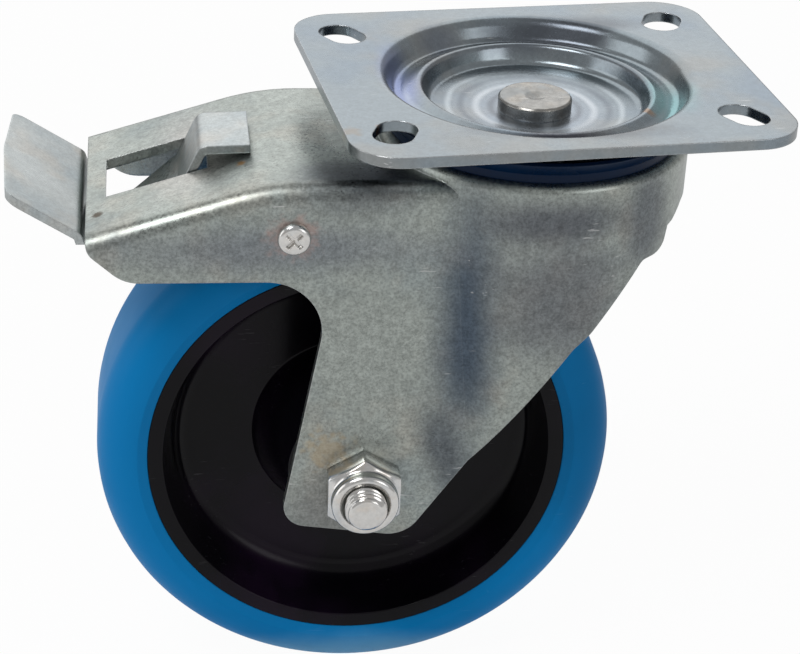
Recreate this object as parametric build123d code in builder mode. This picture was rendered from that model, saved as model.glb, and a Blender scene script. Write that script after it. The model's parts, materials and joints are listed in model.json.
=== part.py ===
"""Swivel castor with a top plate, a pressed fork, a blue elastic tyre on a polyamide rim and a pedal brake.

Units are millimetres. The origin is the centre of the top plate's upper face, on the swivel axis,
with +Z up and +X along the plate's long side. The fork trails towards -X and stands turned by
swivel_at_rest, so everything that swings with it is drawn on planes turned by the same angle.
"""
import os
from math import atan2, cos, hypot, radians, sin, sqrt, tan

from build123d import *

os.makedirs("parts", exist_ok=True)

# ---------------------------------------------------------------- driving dimensions
# overall
wheel_diameter = 125.0
wheel_top_depth = 30.0         # plate's upper face to the top of the tread
wheel_offset = 40.0            # swivel axis to axle, seen from above
swivel_at_rest = -6.6          # how far the fork is turned about the swivel axis, degrees

# top plate
plate_length = 102.0
plate_width = 86.0
plate_thickness = 2.5
plate_corner_radius = 11.0
slot_spacing_x = 80.0
slot_spacing_y = 58.6
slot_width = 9.2
slot_length = 12.8
slot_angle = 64.0              # of the slot's length from the plate's long side
dish_outer_radius = 35.7       # where the pressed dish leaves the flat
dish_wall_foot_radius = 32.9
dish_groove_depth = 5.6
dish_ridge_radius = 26.6
dish_ridge_depth = 2.8
dish_floor_radius = 25.0
dish_floor_depth = 7.6
boss_radius = 13.5             # flat seat round the kingpin
boss_depth = 8.7

# kingpin and the lower race
kingpin_radius = 6.0
kingpin_head_radius = 8.6
kingpin_head_depth = 5.5       # its top lies this far under the plate's upper face
kingpin_edge = 0.5
kingpin_dimple_radius = 2.6
kingpin_dimple_depth = 0.8
kingpin_foot_radius = 9.4
kingpin_foot_height = 3.0
kingpin_foot_edge = 1.0
bush_radius = 9.0
shaft_clearance = 0.05         # between a shaft and what sits or turns on it
ball_clearance = 0.12          # between a ball and its races
upper_ball_radius = 3.0
upper_ball_pitch_radius = 30.0
upper_ball_count = 26
lower_ball_radius = 2.5
lower_ball_pitch_radius = 15.5
lower_ball_count = 16
lower_groove_depth = 0.7
lower_cup_below_balls = 1.2    # from the balls' middle down to the cup's upper face
lower_cup_radius = 19.5
lower_cup_thickness = 3.3
lower_cup_flange_radius = 25.0
lower_cup_flange_thickness = 2.5
lock_notch_count = 24
lock_notch_width = 3.4
lock_notch_depth = 4.0

# fork head
fork_sheet = 2.5
head_radius = 36.4
head_rim_depth = 12.2          # plate's upper face to the head's rim
head_rim_round = 2.2
head_rim_inner_radius = 26.2
head_dish_depth = 14.4         # sunk middle of the head, inside the upper ball ring
head_dish_slope = 2.0
head_under_depth = 16.9
head_rim_under_depth = 15.4
head_hole_radius = 11.5
head_taper_start = 30.0        # depth at which the head begins to narrow
head_taper_rate = 0.05         # how much its radius loses per millimetre of depth
skirt_depth = 25.5             # lower edge of the short skirt at the front
skirt_end_x = 33.3
skirt_step = (30.4, -28.0)     # outer and inner end of the step from the skirt down to the lug, x and z
skirt_notch = (28.9, -28.4)
skirt_lug = (27.9, -34.1)      # corner below the skirt's end, x and z
skirt_lug_radius = 3.2

# fork arm and legs
leg_half_width = 30.0          # outer faces of the legs and of the arm's flanges
web_depth = 14.8               # top face of the arm's web beside the head
web_slope = 17.3               # of the rear of the web, degrees
web_knee_x = -63.0             # where the level and the sloping web meet
web_knee_radius = 60.0
arm_rear_x = -103.7
arm_bottom_depth = 38.2
arm_rear_knee_rise = 7.6       # how far above the arm's lower edge its rear edge leaves the upright
arm_rear_knee_radius = 5.0
arm_rear_foot_x = -95.2        # where it reaches the arm's lower edge
arm_rear_foot_radius = 9.0
fold_radius = 4.0              # outer radius of the fold between web and flange
leg_rear_lean = 9.8            # of the leg's rear edge from upright, degrees
leg_rear_top_x = -48.2         # where that edge would meet the arm's lower edge
leg_rear_fillet = 13.0
leg_toe_radius = 5.5
leg_foot_drop = 13.0           # axle to the leg's lower edge, below the axle
leg_foot_slope = 7.8
leg_heel_radius = 8.0
front_upper_slope = 54.4       # of the front edge of the legs beside the head, degrees
front_lower_slope = 55.6       # and of its long straight part below
front_knee_top = (10.8, -50.3)  # upper and lower end of the knee between them, x and z
front_knee_foot = (6.8, -54.1)
front_knee_radius = 6.0
front_edge_fillet = 2.0
window_front_x = -76.0
window_rear_x = -99.2
window_half_width = 10.2

# wheel
tyre_width = 35.2
tyre_shoulder_radius = 8.8
tyre_thickness = 12.0
tyre_key_depth = 2.4
tyre_key_half_width = 6.0
rim_half_width = 16.5
rim_lip_thickness = 3.7
rim_wall_thickness = 7.3       # at the foot of the rim's inner wall
rim_bowl_round = 5.0
rim_web_half_thickness = 2.8
hub_foot_radius = 23.8
hub_foot_half_width = 4.6
hub_radius = 17.0
hub_end_gap = 4.5              # between the hub and the leg
hub_round = 1.0

# axle and wheel bearing
axle_radius = 5.0
axle_end_radius = 4.3
axle_end_length = 13.0         # of the bolt beyond the near leg
bolt_head_height = 6.4
wrench_size = 17.0
wrench_chamfer_radius = 8.2
wrench_chamfer_slope = 0.55
nut_hex_height = 6.2
nut_collar_radius = 7.95
nut_collar_height = 3.3
nut_collar_round = 1.2
nut_collar_lip = 0.6
nut_insert_radius = 6.85
nut_insert_length = 2.1
nut_opening_radius = 5.65
axle_tube_radius = 7.5
roller_radius = 2.5
roller_count = 9
roller_end_gap = 4.0           # between a roller's end and the hub's
cage_half_thickness = 1.3
cage_end = 1.5
bearing_sleeve_thickness = 1.4
guard_radius = 16.0
guard_boss_radius = 10.5
guard_thickness = 1.6
guard_gap = 0.4                # between a thread guard and the hub

# brake
pivot_x = -57.5
pivot_depth = 27.1
pivot_screw_radius = 3.0
pivot_head_radius = 3.8
pivot_head_height = 2.0
pivot_head_round = 1.2
pivot_recess_width = 1.0
pivot_recess_length = 4.6
pivot_recess_depth = 1.2
pivot_nut_wrench_size = 10.0
pivot_nut_height = 5.0
pivot_end_length = 6.4         # of the screw beyond the far leg
pedal_sheet = 2.0
pedal_bends = [                # upper face of the folded pedal, from the tab to the treadle's edge, x and z
    (-66.5, -13.5),
    (-77.9, -13.9),
    (-82.6, -24.2),
    (-96.2, -36.3),
    (-102.6, -36.3),
    (-104.5, -29.35),
    (-122.3, -18.2),
]
pedal_upper_radii = [3.3, 0.8, 1.2, 0.8, 2.6]
pedal_under_radii = [1.3, 2.8, 3.2, 2.8, 0.6]
pedal_strip_half_width = 9.7
treadle_half_width = 22.7
treadle_bow = 1.2              # how far the treadle's outer edge bulges beyond its corners
treadle_bow_radius = 40.0
treadle_corner_radius = 3.0
treadle_root_depth = 32.0      # the pedal is as wide as the treadle down to here
lever_sheet = 2.8
lever_bends = [                # upper face of the brake lever, from the nose to the rear tip, x and z
    (-20.6, -25.9),
    (-50.0, -23.7),
    (-61.5, -23.7),
    (-80.0, -33.2),
    (-97.2, -39.3),
]
lever_upper_radii = [20.0, 8.0, 12.0]
lever_under_radii = [22.8, 5.2, 14.8]
lever_half_width = 9.0
lever_barrel_radius = 4.4
lever_barrel_gap = 0.3         # between the lever's barrel and a leg
lock_tooth_height = 2.6
lock_tooth_length = 3.0
lock_tooth_width = 2.5
lock_tooth_x = -23.1
shoe_length = 13.0
shoe_middle_x = -75.5
shoe_half_width = 8.0
shoe_gap = 0.1                 # between the shoe and the tread, brake on
lever_travel = 5.0             # how far the lever turns to bring the shoe there, degrees

# dust seal
seal_radius = 34.3
seal_wall = 1.0
seal_waist_depth = 10.2
seal_lip_radius = 36.8
seal_lip_depth = 7.0
seal_lip_thickness = 0.9

# ---------------------------------------------------------------- derived sizes and planes
wheel_radius = wheel_diameter / 2
mounting_height = wheel_top_depth + wheel_diameter
axle_depth = wheel_top_depth + wheel_radius
tyre_seat_radius = wheel_radius - tyre_thickness
rim_lip_radius = tyre_seat_radius - rim_lip_thickness
rim_bowl_radius = tyre_seat_radius - rim_wall_thickness
leg_inner = leg_half_width - fork_sheet
hub_half_length = leg_inner - hub_end_gap
roller_length = 2 * (hub_half_length - roller_end_gap)
axle_end_reach = leg_half_width + axle_end_length
pivot_end_reach = leg_half_width + pivot_end_length
lever_barrel_half_length = leg_inner - lever_barrel_gap
tyre_half_width = tyre_width / 2
axle_spot = (-wheel_offset, -axle_depth)       # in the fork's side plane
pivot_spot = (pivot_x, -pivot_depth)


def turn(plane):
    """The plane as it lies on the fork, which stands turned about the swivel axis."""
    return Plane(Rotation(0, 0, swivel_at_rest) * plane.location)


def across(reach):
    """Plane square to the axle, at a reach from the middle of the wheel towards the far side."""
    return turn(Plane(origin=(-wheel_offset, reach, -axle_depth), x_dir=(-1, 0, 0), z_dir=(0, 1, 0)))


fork_side = turn(Plane.XZ)                     # x forward, y up, seen from the near side
fork_top = turn(Plane.XY)
fork_front = turn(Plane.YZ)
near_leg = fork_side.offset(leg_half_width)
far_leg = turn(Plane(origin=(0, leg_half_width, 0), x_dir=(-1, 0, 0), z_dir=(0, 1, 0)))
wheel_section = turn(Plane(origin=(-wheel_offset, 0, -axle_depth), x_dir=(0, 1, 0), z_dir=(1, 0, 0)))
wheel_axis = Axis(wheel_section.origin, wheel_section.x_dir)
pivot_section = turn(Plane(origin=(pivot_x, 0, -pivot_depth), x_dir=(0, 1, 0), z_dir=(1, 0, 0)))
pivot_axis = Axis(pivot_section.origin, pivot_section.x_dir)


def parallel(points, distance):
    """Corners of a polyline that runs beside the given one, to its left by distance."""
    lines = []
    for (x0, y0), (x1, y1) in zip(points, points[1:]):
        length = hypot(x1 - x0, y1 - y0)
        nx, ny = -(y1 - y0) / length, (x1 - x0) / length
        lines.append(((x0 + nx * distance, y0 + ny * distance), (x1 - x0, y1 - y0)))
    (px, py), (dx, dy) = lines[0]
    corners = [(px, py)]
    for (ax, ay), (ux, uy) in lines[1:]:
        along = ((ax - px) * uy - (ay - py) * ux) / (dx * uy - dy * ux)
        corners.append((px + dx * along, py + dy * along))
        (px, py), (dx, dy) = (ax, ay), (ux, uy)
    corners.append((px + dx, py + dy))
    return corners


def meet(first, first_slope, second, second_slope):
    """Where two lines meet, each given by a point and its slope in degrees."""
    rise, other = tan(radians(first_slope)), tan(radians(second_slope))
    x = (second[1] - first[1] + rise * first[0] - other * second[0]) / (rise - other)
    return x, first[1] + rise * (x - first[0])


def swing_back(spot, pivot, degrees):
    """Where a spot lies after a turn about a pivot that lifts what is behind the pivot."""
    run, rise = spot[0] - pivot[0], spot[1] - pivot[1]
    side, up = cos(radians(degrees)), sin(radians(degrees))
    return pivot[0] + run * side + rise * up, pivot[1] + rise * side - run * up


# ---------------------------------------------------------------- top plate
dish_top = [
    (dish_outer_radius + 2.3, 0),
    (dish_outer_radius, 0),
    (dish_wall_foot_radius, -dish_groove_depth),
    (dish_ridge_radius, -dish_ridge_depth),
    (dish_floor_radius, -dish_floor_depth),
    (boss_radius, -boss_depth),
    (kingpin_radius + shaft_clearance, -boss_depth),
]
dish_under = parallel(dish_top, plate_thickness)
dish_top_radii = [3.0, 1.8, 1.2, 2.0, 6.0]
dish_under_radii = [0.5, 4.3, 0.4, 4.2, 8.5]

with BuildPart() as top_plate:
    with BuildSketch(Plane.XY.offset(-plate_thickness)):
        RectangleRounded(plate_length, plate_width, plate_corner_radius)
        Circle(dish_top[0][0], mode=Mode.SUBTRACT)
    extrude(amount=plate_thickness)
    with BuildSketch(Plane.XZ):
        with BuildLine():
            FilletPolyline(*dish_top, radius=dish_top_radii)
            Line(dish_top[-1], dish_under[-1])
            FilletPolyline(*reversed(dish_under), radius=list(reversed(dish_under_radii)))
            Line(dish_under[0], dish_top[0])
        make_face()
    revolve(axis=Axis.Z)
    for side_x in (-1, 1):
        for side_y in (-1, 1):
            with BuildSketch(Plane.XY.offset(-plate_thickness)):
                with Locations((side_x * slot_spacing_x / 2, side_y * slot_spacing_y / 2)):
                    SlotOverall(slot_length, slot_width, rotation=side_x * side_y * slot_angle)
            extrude(amount=plate_thickness, mode=Mode.SUBTRACT)
top_plate.part.label = "top_plate"
export_step(top_plate.part, "parts/top_plate.step")

# ---------------------------------------------------------------- kingpin, its bush and the lower race
land_outer, land_inner = dish_under[2], dish_under[3]
land_tilt = atan2(land_inner[1] - land_outer[1], land_outer[0] - land_inner[0])
land_depth = -land_inner[1] + (upper_ball_pitch_radius - land_inner[0]) * tan(land_tilt)
upper_ball_depth = land_depth + (upper_ball_radius + ball_clearance) / cos(land_tilt)
lower_ball_depth = head_under_depth + lower_ball_radius + ball_clearance - lower_groove_depth
cup_top_depth = lower_ball_depth + lower_cup_below_balls
cup_under_depth = cup_top_depth + lower_cup_thickness
bush_top_depth = boss_depth + plate_thickness
kingpin_end_depth = cup_under_depth + kingpin_foot_height

with BuildPart() as kingpin:
    with BuildSketch(Plane.XZ):
        with BuildLine():
            Polyline(
                (0, -kingpin_head_depth - kingpin_dimple_depth),
                (kingpin_dimple_radius, -kingpin_head_depth),
                (kingpin_head_radius - kingpin_edge, -kingpin_head_depth),
                (kingpin_head_radius, -kingpin_head_depth - kingpin_edge),
                (kingpin_head_radius, -boss_depth),
                (kingpin_radius, -boss_depth),
                (kingpin_radius, -cup_under_depth),
                (kingpin_foot_radius, -cup_under_depth),
                (kingpin_foot_radius, -kingpin_end_depth + kingpin_foot_edge),
                (kingpin_foot_radius - kingpin_foot_edge, -kingpin_end_depth),
                (0, -kingpin_end_depth),
                close=True,
            )
        make_face()
    revolve(axis=Axis.Z)
kingpin.part.label = "kingpin"
export_step(kingpin.part, "parts/kingpin.step")

with BuildPart() as kingpin_bush:
    with BuildSketch(Plane.XY.offset(-cup_top_depth)):
        Circle(bush_radius)
        Circle(kingpin_radius + shaft_clearance, mode=Mode.SUBTRACT)
    extrude(amount=cup_top_depth - bush_top_depth)
kingpin_bush.part.label = "kingpin_bush"
export_step(kingpin_bush.part, "parts/kingpin_bush.step")

with BuildPart() as lower_race_cup:
    with BuildSketch(Plane.XY.offset(-cup_under_depth)):
        Circle(lower_cup_radius)
        Circle(kingpin_radius + shaft_clearance, mode=Mode.SUBTRACT)
    extrude(amount=lower_cup_thickness)
    with BuildSketch(fork_top.offset(-cup_top_depth - lower_cup_flange_thickness)):
        Circle(lower_cup_flange_radius)
        Circle(kingpin_radius + shaft_clearance, mode=Mode.SUBTRACT)
        with PolarLocations(lower_cup_flange_radius, lock_notch_count):
            Rectangle(2 * lock_notch_depth, lock_notch_width, mode=Mode.SUBTRACT)
    extrude(amount=lower_cup_flange_thickness)
    with BuildSketch(Plane.XZ):
        with Locations((lower_ball_pitch_radius, -lower_ball_depth)):
            Circle(lower_ball_radius + ball_clearance)
    revolve(axis=Axis.Z, mode=Mode.SUBTRACT)
lower_race_cup.part.label = "lower_race_cup"
export_step(lower_race_cup.part, "parts/lower_race_cup.step")

# ---------------------------------------------------------------- ball rings of the swivel head
with BuildPart() as upper_balls:
    with Locations(Location((0, 0, -upper_ball_depth))):
        with PolarLocations(upper_ball_pitch_radius, upper_ball_count):
            Sphere(upper_ball_radius)
upper_balls.part.label = "upper_balls"
export_step(upper_balls.part, "parts/upper_balls.step")

with BuildPart() as lower_balls:
    with Locations(Location((0, 0, -lower_ball_depth))):
        with PolarLocations(lower_ball_pitch_radius, lower_ball_count):
            Sphere(lower_ball_radius)
lower_balls.part.label = "lower_balls"
export_step(lower_balls.part, "parts/lower_balls.step")

# ---------------------------------------------------------------- fork
deep = mounting_height                          # lower than anything on the fork
wide = plate_width                              # wider than the fork
web_line = [
    (0, -web_depth),
    (web_knee_x, -web_depth),
    (arm_rear_x, -web_depth - (web_knee_x - arm_rear_x) * tan(radians(web_slope))),
]
web_under = parallel(web_line, fork_sheet)
foot_spot = (-wheel_offset, -axle_depth - leg_foot_drop)
leg_rear_top = (leg_rear_top_x, -arm_bottom_depth)
rear_low = meet(leg_rear_top, 90 - leg_rear_lean, foot_spot, -leg_foot_slope)
front_low = meet(front_knee_foot, front_lower_slope, foot_spot, -leg_foot_slope)
front_high = meet(front_knee_top, front_upper_slope, skirt_lug, 0)
foot_front = (0, foot_spot[1] - (0 - foot_spot[0]) * tan(radians(leg_foot_slope)))
foot_rear = (-deep, foot_spot[1] - (-deep - foot_spot[0]) * tan(radians(leg_foot_slope)))


def head_profile(shrink):
    """Side of the head's half section from its edge down, with its wall moved inwards by shrink."""
    radius = head_radius - shrink
    narrow = radius - (deep - head_taper_start) * head_taper_rate
    return [(radius, -head_taper_start), (narrow, -deep), (0, -deep)]


def fold_edges(block, half_width):
    """Upper long edges of an arm block, where its web turns down into its flanges."""
    chosen = []
    for edge in block.edges():
        spot = fork_side.to_local_coords(edge.center())
        if abs(abs(spot.Z) - half_width) < 0.01 and spot.Y > web_line[-1][1]:
            chosen.append(edge)
    return chosen


with BuildPart() as fork_hollow:
    with BuildSketch(fork_side):
        with BuildLine():
            FilletPolyline(
                *web_under,
                (web_under[-1][0], -deep),
                (0, -deep),
                radius=[0, web_knee_radius - fork_sheet, 0, 0, 0],
                close=True,
            )
        make_face()
    extrude(amount=leg_inner, both=True)
    fillet(fold_edges(fork_hollow, leg_inner), fold_radius - fork_sheet)
    with BuildSketch(Plane.XZ):
        with BuildLine():
            FilletPolyline(
                (0, -head_under_depth),
                (head_rim_inner_radius, -head_under_depth),
                (head_rim_inner_radius + head_dish_slope, -head_rim_under_depth),
                (head_radius - fork_sheet, -head_rim_under_depth),
                *head_profile(fork_sheet),
                radius=[0, 1.0, 1.0, 1.2, head_taper_start, 0, 0],
                close=True,
            )
        make_face()
    revolve(axis=Axis.Z)

with BuildPart() as fork:
    with BuildSketch(fork_side):
        with BuildLine():
            FilletPolyline(
                *web_line,
                (arm_rear_x, -arm_bottom_depth + arm_rear_knee_rise),
                (arm_rear_foot_x, -arm_bottom_depth),
                leg_rear_top,
                rear_low,
                foot_front,
                radius=[
                    0,
                    web_knee_radius,
                    0,
                    arm_rear_knee_radius,
                    arm_rear_foot_radius,
                    leg_rear_fillet,
                    leg_toe_radius,
                    0,
                ],
                close=True,
            )
        make_face()
    extrude(amount=leg_half_width, both=True)
    fillet(fold_edges(fork, leg_half_width), fold_radius)
    with BuildSketch(Plane.XZ):
        with BuildLine():
            FilletPolyline(
                (0, -head_rim_depth),
                (head_radius, -head_rim_depth),
                *head_profile(0),
                radius=[0, head_rim_round, head_taper_start, 0, 0],
                close=True,
            )
        make_face()
    revolve(axis=Axis.Z)
    with BuildSketch(fork_side):
        with BuildLine():
            FilletPolyline(
                (wide, 0),
                (wide, -skirt_depth),
                (skirt_end_x, -skirt_depth),
                skirt_step,
                skirt_notch,
                skirt_lug,
                front_high,
                front_knee_top,
                front_knee_foot,
                front_low,
                foot_rear,
                (-deep, 0),
                radius=[
                    0,
                    0,
                    0,
                    0,
                    0,
                    skirt_lug_radius,
                    front_edge_fillet,
                    front_knee_radius,
                    front_knee_radius,
                    leg_heel_radius,
                    0,
                    0,
                ],
                close=True,
            )
        make_face()
    extrude(amount=wide, both=True, mode=Mode.INTERSECT)
    add(fork_hollow.part, mode=Mode.SUBTRACT)
    with BuildSketch(Plane.XZ):
        with BuildLine():
            Polyline(
                (0, 0),
                (head_rim_inner_radius, 0),
                (head_rim_inner_radius, -head_rim_depth),
                (head_rim_inner_radius - head_dish_slope, -head_dish_depth),
                (0, -head_dish_depth),
                close=True,
            )
        make_face()
        with Locations((upper_ball_pitch_radius, -upper_ball_depth)):
            Circle(upper_ball_radius + ball_clearance)
        with Locations((lower_ball_pitch_radius, -lower_ball_depth)):
            Circle(lower_ball_radius + ball_clearance)
    revolve(axis=Axis.Z, mode=Mode.SUBTRACT)
    with BuildSketch(fork_top):
        Circle(head_hole_radius)
        with Locations(((window_front_x + window_rear_x) / 2, 0)):
            Rectangle(window_front_x - window_rear_x, 2 * window_half_width)
    extrude(amount=-arm_bottom_depth, mode=Mode.SUBTRACT)
    with BuildSketch(fork_side):
        with Locations(axle_spot):
            Circle(axle_radius + shaft_clearance)
        with Locations(pivot_spot):
            Circle(pivot_screw_radius + shaft_clearance)
    extrude(amount=wide, both=True, mode=Mode.SUBTRACT)
fork.part.label = "fork"
export_step(fork.part, "parts/fork.step")

# ---------------------------------------------------------------- dust seal
with BuildPart() as dust_seal:
    with BuildSketch(Plane.XZ):
        with BuildLine():
            Polyline(
                (seal_radius - seal_wall, -head_rim_depth),
                (seal_radius, -head_rim_depth),
                (seal_radius, -seal_waist_depth),
                (seal_lip_radius, -seal_lip_depth),
                (seal_lip_radius - seal_lip_thickness, -seal_lip_depth + seal_lip_thickness / 2),
                (seal_radius - seal_wall / 2, -seal_waist_depth + seal_lip_thickness),
                (seal_radius - seal_wall, -seal_waist_depth),
                close=True,
            )
        make_face()
    revolve(axis=Axis.Z)
dust_seal.part.label = "dust_seal"
export_step(dust_seal.part, "parts/dust_seal.step")

# ---------------------------------------------------------------- axle bolt, its nut and the nut's lock ring
nut_end = leg_half_width + nut_hex_height + nut_collar_height
hex_corner = wrench_size / sqrt(3)


def corner_cut(face):
    """Corners of the ring that is turned off a hexagon's points, at the hexagon's outer face."""
    way = face / abs(face)
    reach = hex_corner + 1
    fall = (reach - wrench_chamfer_radius) * wrench_chamfer_slope
    return [(face, wrench_chamfer_radius), (face, reach), (face - way * fall, reach)]


with BuildPart() as axle_bolt:
    with BuildSketch(wheel_section):
        with BuildLine():
            Polyline(
                (-axle_end_reach, 0),
                (-axle_end_reach, axle_end_radius),
                (-axle_end_reach + axle_radius - axle_end_radius, axle_radius),
                (leg_half_width, axle_radius),
                (leg_half_width, 0),
                close=True,
            )
        make_face()
    revolve(axis=wheel_axis)
    with BuildSketch(across(leg_half_width)):
        RegularPolygon(wrench_size / 2, 6, major_radius=False)
    extrude(amount=bolt_head_height)
    with BuildSketch(wheel_section):
        with BuildLine():
            Polyline(*corner_cut(leg_half_width + bolt_head_height), close=True)
        make_face()
    revolve(axis=wheel_axis, mode=Mode.SUBTRACT)
axle_bolt.part.label = "axle_bolt"
export_step(axle_bolt.part, "parts/axle_bolt.step")

with BuildPart() as axle_nut:
    with BuildSketch(across(-leg_half_width - nut_hex_height)):
        RegularPolygon(wrench_size / 2, 6, major_radius=False, rotation=90)
        Circle(axle_radius + shaft_clearance, mode=Mode.SUBTRACT)
    extrude(amount=nut_hex_height)
    with BuildSketch(wheel_section):
        with BuildLine():
            Polyline(*corner_cut(-leg_half_width - nut_hex_height), close=True)
        make_face()
    revolve(axis=wheel_axis, mode=Mode.SUBTRACT)
    with BuildSketch(wheel_section):
        with BuildLine():
            FilletPolyline(
                (-leg_half_width - nut_hex_height, nut_insert_radius),
                (-leg_half_width - nut_hex_height, nut_collar_radius),
                (-nut_end, nut_collar_radius),
                (-nut_end, nut_opening_radius),
                (-nut_end + nut_collar_lip, nut_opening_radius),
                (-nut_end + nut_collar_lip, nut_insert_radius),
                radius=[0, 0, nut_collar_round, 0, 0, 0],
                close=True,
            )
        make_face()
    revolve(axis=wheel_axis)
axle_nut.part.label = "axle_nut"
export_step(axle_nut.part, "parts/axle_nut.step")

with BuildPart() as nut_lock_ring:
    with BuildSketch(across(-leg_half_width - nut_hex_height)):
        Circle(nut_insert_radius)
        Circle(axle_radius + shaft_clearance, mode=Mode.SUBTRACT)
    extrude(amount=-nut_insert_length)
nut_lock_ring.part.label = "nut_lock_ring"
export_step(nut_lock_ring.part, "parts/nut_lock_ring.step")

# ---------------------------------------------------------------- axle tube, bearing and thread guards
roller_pitch_radius = axle_tube_radius + roller_radius + shaft_clearance
sleeve_inner_radius = roller_pitch_radius + roller_radius + shaft_clearance
rim_bore_radius = sleeve_inner_radius + bearing_sleeve_thickness
cage_half_length = roller_length / 2 + cage_end

with BuildPart() as axle_tube:
    with BuildSketch(across(-leg_inner)):
        Circle(axle_tube_radius)
        Circle(axle_radius + shaft_clearance, mode=Mode.SUBTRACT)
    extrude(amount=2 * leg_inner)
axle_tube.part.label = "axle_tube"
export_step(axle_tube.part, "parts/axle_tube.step")

with BuildPart() as thread_guards:
    for side in (-1, 1):
        with BuildSketch(wheel_section):
            with BuildLine():
                Polyline(
                    (side * (hub_half_length + guard_gap), axle_tube_radius + shaft_clearance),
                    (side * (hub_half_length + guard_gap), guard_radius),
                    (side * (hub_half_length + guard_gap + guard_thickness), guard_radius),
                    (side * leg_inner, guard_boss_radius),
                    (side * leg_inner, axle_tube_radius + shaft_clearance),
                    close=True,
                )
            make_face()
        revolve(axis=wheel_axis)
thread_guards.part.label = "thread_guards"
export_step(thread_guards.part, "parts/thread_guards.step")

with BuildPart() as bearing_rollers:
    with BuildSketch(across(-roller_length / 2)):
        with PolarLocations(roller_pitch_radius, roller_count):
            Circle(roller_radius)
    extrude(amount=roller_length)
bearing_rollers.part.label = "bearing_rollers"
export_step(bearing_rollers.part, "parts/bearing_rollers.step")

with BuildPart() as roller_cage:
    with BuildSketch(across(-cage_half_length)):
        Circle(roller_pitch_radius + cage_half_thickness)
        Circle(roller_pitch_radius - cage_half_thickness, mode=Mode.SUBTRACT)
    extrude(amount=2 * cage_half_length)
    with BuildSketch(across(-roller_length / 2 - shaft_clearance)):
        with PolarLocations(roller_pitch_radius, roller_count):
            Circle(roller_radius + shaft_clearance)
    extrude(amount=roller_length + 2 * shaft_clearance, mode=Mode.SUBTRACT)
roller_cage.part.label = "roller_cage"
export_step(roller_cage.part, "parts/roller_cage.step")

with BuildPart() as bearing_sleeve:
    with BuildSketch(across(-hub_half_length)):
        Circle(rim_bore_radius)
        Circle(sleeve_inner_radius, mode=Mode.SUBTRACT)
    extrude(amount=2 * hub_half_length)
bearing_sleeve.part.label = "bearing_sleeve"
export_step(bearing_sleeve.part, "parts/bearing_sleeve.step")

# ---------------------------------------------------------------- rim and tyre
with BuildPart() as wheel_rim:
    with BuildSketch(wheel_section):
        with BuildLine():
            FilletPolyline(
                (0, rim_bore_radius),
                (hub_half_length, rim_bore_radius),
                (hub_half_length, hub_radius),
                (hub_foot_half_width, hub_foot_radius),
                (rim_web_half_thickness, hub_foot_radius + hub_round),
                (rim_web_half_thickness, rim_bowl_radius),
                (rim_half_width, rim_lip_radius),
                (rim_half_width, tyre_seat_radius),
                (tyre_key_half_width, tyre_seat_radius),
                (tyre_key_half_width, tyre_seat_radius - tyre_key_depth),
                (0, tyre_seat_radius - tyre_key_depth),
                radius=[0, 0, hub_round, hub_round, 0, rim_bowl_round, 0, 0, 0, 0, 0],
                close=True,
            )
        make_face()
    revolve(axis=wheel_axis)
    mirror(about=across(0))
wheel_rim.part.label = "wheel_rim"
export_step(wheel_rim.part, "parts/wheel_rim.step")

with BuildPart() as tyre:
    with BuildSketch(wheel_section):
        with BuildLine():
            FilletPolyline(
                (-rim_half_width, tyre_seat_radius),
                (-tyre_half_width, tyre_seat_radius + tyre_key_depth),
                (-tyre_half_width, wheel_radius),
                (tyre_half_width, wheel_radius),
                (tyre_half_width, tyre_seat_radius + tyre_key_depth),
                (rim_half_width, tyre_seat_radius),
                (tyre_key_half_width, tyre_seat_radius),
                (tyre_key_half_width, tyre_seat_radius - tyre_key_depth),
                (-tyre_key_half_width, tyre_seat_radius - tyre_key_depth),
                (-tyre_key_half_width, tyre_seat_radius),
                radius=[0, 0, tyre_shoulder_radius, tyre_shoulder_radius, 0, 0, 0, 0, 0, 0],
                close=True,
            )
        make_face()
    revolve(axis=wheel_axis)
tyre.part.label = "tyre"
export_step(tyre.part, "parts/tyre.step")

# ---------------------------------------------------------------- brake pedal, lever, shoe and pivot screw
pedal_under = parallel(pedal_bends, pedal_sheet)
lever_under = parallel(lever_bends, lever_sheet)
root_x = pedal_bends[-2][0] + pedal_sheet
edge_x = pedal_bends[-1][0]

with BuildPart() as brake_pedal:
    with BuildSketch(fork_side):
        with BuildLine():
            FilletPolyline(*pedal_bends, radius=pedal_upper_radii)
            FilletPolyline(*pedal_under, radius=pedal_under_radii)
            Line(pedal_bends[0], pedal_under[0])
            Line(pedal_bends[-1], pedal_under[-1])
        make_face()
    extrude(amount=treadle_half_width, both=True)
    with BuildSketch(fork_top):
        with BuildLine():
            FilletPolyline(
                (0, -pedal_strip_half_width),
                (0, pedal_strip_half_width),
                (root_x, pedal_strip_half_width),
                (root_x, treadle_half_width),
                (edge_x + treadle_bow, treadle_half_width),
                (edge_x, 0),
                (edge_x + treadle_bow, -treadle_half_width),
                (root_x, -treadle_half_width),
                (root_x, -pedal_strip_half_width),
                radius=[0, 0, 0, 0, treadle_corner_radius, treadle_bow_radius, treadle_corner_radius, 0, 0],
                close=True,
            )
        make_face()
    extrude(amount=-deep, mode=Mode.INTERSECT)
    with BuildSketch(fork_front):
        with Locations((0, -treadle_root_depth / 2)):
            Rectangle(wide, treadle_root_depth)
        with Locations((0, -deep / 2)):
            Rectangle(2 * pedal_strip_half_width, deep)
    extrude(amount=-deep, mode=Mode.INTERSECT)
brake_pedal.part.label = "brake_pedal"
export_step(brake_pedal.part, "parts/brake_pedal.step")

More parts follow.
